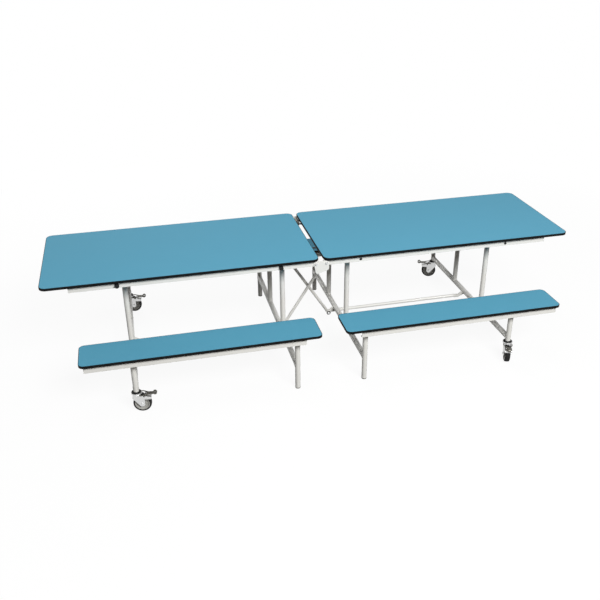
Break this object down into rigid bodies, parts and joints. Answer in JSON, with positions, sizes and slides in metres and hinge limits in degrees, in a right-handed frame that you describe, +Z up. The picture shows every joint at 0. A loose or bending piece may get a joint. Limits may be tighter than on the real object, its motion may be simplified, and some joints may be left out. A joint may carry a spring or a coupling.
{
  "type": "mobile folding cafeteria table with benches",
  "caption": "Long cafeteria table with attached bench seats on leg frames with casters; the centre lifts and both halves fold upright for rolling away.",
  "frame": {"origin": "floor level at the centre of the table, midway between the inner leg frames", "axes": "+X along the table's length, +Y across it away from the front benches, +Z up"},
  "size_m": [3.05, 1.3509, 0.685],
  "materials": {
    "laminate": "high-pressure laminate on board",
    "edging": "black polyurethane edge",
    "frame_paint": "cream powder coat",
    "black_plastic": "moulded nylon",
    "rubber": "moulded rubber",
    "tyre": "grey tread",
    "core": "moulded polypropylene",
    "zinc": "bright zinc plate",
    "dark_zinc": "black-passivated zinc plate on pressed steel"
  },
  "bodies": {
    "outer_frame_left": {"outer_frame_left": "frame_paint", "shaft_caps_outer_left": "black_plastic", "caster_stems_left": "black_plastic"},
    "top_left": {"top_left_panel": "laminate", "top_left_edge": "edging", "top_rails_left": "frame_paint", "link_bracket_left": "zinc", "buffer_left": "rubber"},
    "inner_frame_left": {"inner_frame_left": "frame_paint", "shaft_caps_inner_left": "black_plastic", "glides_left": "black_plastic"},
    "bench_front_left": {"bench_front_left_panel": "laminate", "bench_front_left_edge": "edging", "bench_front_left_rails": "frame_paint"},
    "bench_rear_left": {"bench_rear_left_panel": "laminate", "bench_rear_left_edge": "edging", "bench_rear_left_rails": "frame_paint"},
    "tie_bar_left": {"tie_bar_left": "frame_paint"},
    "outer_frame_right": {"outer_frame_right": "frame_paint", "shaft_caps_outer_right": "black_plastic", "caster_stems_right": "black_plastic"},
    "top_right": {"top_right_panel": "laminate", "top_right_edge": "edging", "top_rails_right": "frame_paint", "link_bracket_right": "zinc", "buffer_right": "rubber"},
    "inner_frame_right": {"inner_frame_right": "frame_paint", "shaft_caps_inner_right": "black_plastic", "glides_right": "black_plastic"},
    "bench_front_right": {"bench_front_right_panel": "laminate", "bench_front_right_edge": "edging", "bench_front_right_rails": "frame_paint"},
    "bench_rear_right": {"bench_rear_right_panel": "laminate", "bench_rear_right_edge": "edging", "bench_rear_right_rails": "frame_paint"},
    "tie_bar_right": {"tie_bar_right": "frame_paint"},
    "centre": {"centre_plate_front": "frame_paint", "centre_plate_rear": "frame_paint", "centre_beam": "frame_paint", "centre_bolts": "zinc"},
    "link_rear": {"link_rear": "frame_paint"},
    "link_front": {"link_front": "frame_paint"},
    "fork_front_left": {"fork_front_left": "zinc"},
    "wheel_front_left": {"tyre_front_left": "tyre", "wheel_core_front_left": "core"},
    "brake_front_left": {"brake_pedal_front_left": "dark_zinc"},
    "fork_rear_left": {"fork_rear_left": "zinc"},
    "wheel_rear_left": {"tyre_rear_left": "tyre", "wheel_core_rear_left": "core"},
    "brake_rear_left": {"brake_pedal_rear_left": "dark_zinc"},
    "fork_front_right": {"fork_front_right": "zinc"},
    "wheel_front_right": {"tyre_front_right": "tyre", "wheel_core_front_right": "core"},
    "brake_front_right": {"brake_pedal_front_right": "dark_zinc"},
    "fork_rear_right": {"fork_rear_right": "zinc"},
    "wheel_rear_right": {"tyre_rear_right": "tyre", "wheel_core_rear_right": "core"},
    "brake_rear_right": {"brake_pedal_rear_right": "dark_zinc"}
  },
  "joints": [
    {"name": "fold", "type": "hinge", "parent": "outer_frame_left", "child": "top_left", "pos_m": [-1.127, 0, 0.652], "axis": [0, -1, 0], "range_deg": [0, 72]},
    {"name": "centre_left_pivot", "type": "hinge", "parent": "top_left", "child": "centre", "pos_m": [-0.03, 0, 0.652], "axis": [0, -1, 0], "range_deg": [-72, 0]},
    {"name": "centre_right_pivot", "type": "hinge", "parent": "centre", "child": "top_right", "pos_m": [0.03, 0, 0.652], "axis": [0, -1, 0], "range_deg": [-72, 0]},
    {"name": "outer_frame_right_pivot", "type": "hinge", "parent": "top_right", "child": "outer_frame_right", "pos_m": [1.127, 0, 0.652], "axis": [0, -1, 0], "range_deg": [0, 72]},
    {"name": "inner_frame_left_pivot", "type": "hinge", "parent": "top_left", "child": "inner_frame_left", "pos_m": [-0.232, 0, 0.652], "axis": [0, -1, 0], "range_deg": [-72, 0]},
    {"name": "inner_frame_right_pivot", "type": "hinge", "parent": "top_right", "child": "inner_frame_right", "pos_m": [0.232, 0, 0.652], "axis": [0, -1, 0], "range_deg": [0, 72]},
    {"name": "bench_front_left_pivot", "type": "hinge", "parent": "outer_frame_left", "child": "bench_front_left", "pos_m": [-1.127, -0.585, 0.3275], "axis": [0, -1, 0], "range_deg": [0, 72]},
    {"name": "bench_rear_left_pivot", "type": "hinge", "parent": "outer_frame_left", "child": "bench_rear_left", "pos_m": [-1.127, 0.585, 0.3275], "axis": [0, -1, 0], "range_deg": [0, 72]},
    {"name": "tie_bar_left_pivot", "type": "hinge", "parent": "outer_frame_left", "child": "tie_bar_left", "pos_m": [-1.044, -0.053, 0.114], "axis": [0, -1, 0], "range_deg": [0, 72]},
    {"name": "bench_front_right_pivot", "type": "hinge", "parent": "outer_frame_right", "child": "bench_front_right", "pos_m": [1.127, -0.585, 0.3275], "axis": [0, -1, 0], "range_deg": [-72, 0]},
    {"name": "bench_rear_right_pivot", "type": "hinge", "parent": "outer_frame_right", "child": "bench_rear_right", "pos_m": [1.127, 0.585, 0.3275], "axis": [0, -1, 0], "range_deg": [-72, 0]},
    {"name": "tie_bar_right_pivot", "type": "hinge", "parent": "outer_frame_right", "child": "tie_bar_right", "pos_m": [1.044, 0.053, 0.114], "axis": [0, -1, 0], "range_deg": [-72, 0]},
    {"name": "link_rear_pivot", "type": "hinge", "parent": "top_left", "child": "link_rear", "pos_m": [-0.16811, 0.029, 0.607], "axis": [0, -1, 0], "range_deg": [-100.91, 0]},
    {"name": "link_front_pivot", "type": "hinge", "parent": "top_right", "child": "link_front", "pos_m": [0.16811, -0.029, 0.607], "axis": [0, -1, 0], "range_deg": [0, 100.91]},
    {"name": "swivel_front_left", "type": "hinge", "parent": "outer_frame_left", "child": "fork_front_left", "pos_m": [-1.092, -0.585, 0.1107], "axis": [0, 0, 1], "continuous": true},
    {"name": "spin_front_left", "type": "hinge", "parent": "fork_front_left", "child": "wheel_front_left", "pos_m": [-1.06526, -0.58876, 0.05], "axis": [0.1392, 0.9903, 0], "continuous": true},
    {"name": "brake_front_left", "type": "hinge", "parent": "fork_front_left", "child": "brake_front_left", "pos_m": [-1.07418, -0.58751, 0.1062], "axis": [0.1392, 0.9903, 0], "range_deg": [0, 8]},
    {"name": "swivel_rear_left", "type": "hinge", "parent": "outer_frame_left", "child": "fork_rear_left", "pos_m": [-1.092, 0.585, 0.1107], "axis": [0, 0, 1], "continuous": true},
    {"name": "spin_rear_left", "type": "hinge", "parent": "fork_rear_left", "child": "wheel_rear_left", "pos_m": [-1.06541, 0.58031, 0.05], "axis": [0.1736, 0.9848, 0], "continuous": true},
    {"name": "brake_rear_left", "type": "hinge", "parent": "fork_rear_left", "child": "brake_rear_left", "pos_m": [-1.07427, 0.58187, 0.1062], "axis": [0.1736, 0.9848, 0], "range_deg": [0, 8]},
    {"name": "swivel_front_right", "type": "hinge", "parent": "outer_frame_right", "child": "fork_front_right", "pos_m": [1.092, -0.585, 0.1107], "axis": [0, 0, 1], "continuous": true},
    {"name": "spin_front_right", "type": "hinge", "parent": "fork_front_right", "child": "wheel_front_right", "pos_m": [1.08276, -0.61037, 0.05], "axis": [0.9397, -0.342, 0], "continuous": true},
    {"name": "brake_front_right", "type": "hinge", "parent": "fork_front_right", "child": "brake_front_right", "pos_m": [1.08584, -0.60191, 0.1062], "axis": [0.9397, -0.342, 0], "range_deg": [0, 8]},
    {"name": "swivel_rear_right", "type": "hinge", "parent": "outer_frame_right", "child": "fork_rear_right", "pos_m": [1.092, 0.585, 0.1107], "axis": [0, 0, 1], "continuous": true},
    {"name": "spin_rear_right", "type": "hinge", "parent": "fork_rear_right", "child": "wheel_rear_right", "pos_m": [1.06663, 0.59423, 0.05], "axis": [-0.342, -0.9397, 0], "continuous": true},
    {"name": "brake_rear_right", "type": "hinge", "parent": "fork_rear_right", "child": "brake_rear_right", "pos_m": [1.07509, 0.59116, 0.1062], "axis": [-0.342, -0.9397, 0], "range_deg": [0, 8]}
  ],
  "couplings": [
    {"joint": "centre_left_pivot", "follows": "fold", "ratio": -1},
    {"joint": "centre_right_pivot", "follows": "fold", "ratio": -1},
    {"joint": "outer_frame_right_pivot", "follows": "fold", "ratio": 1},
    {"joint": "inner_frame_left_pivot", "follows": "fold", "ratio": -1},
    {"joint": "inner_frame_right_pivot", "follows": "fold", "ratio": 1},
    {"joint": "bench_front_left_pivot", "follows": "fold", "ratio": 1},
    {"joint": "bench_rear_left_pivot", "follows": "fold", "ratio": 1},
    {"joint": "tie_bar_left_pivot", "follows": "fold", "ratio": 1},
    {"joint": "bench_front_right_pivot", "follows": "fold", "ratio": -1},
    {"joint": "bench_rear_right_pivot", "follows": "fold", "ratio": -1},
    {"joint": "tie_bar_right_pivot", "follows": "fold", "ratio": -1},
    {"joint": "link_rear_pivot", "follows": "fold", "ratio": -1.4015},
    {"joint": "link_front_pivot", "follows": "fold", "ratio": 1.4015}
  ]
}
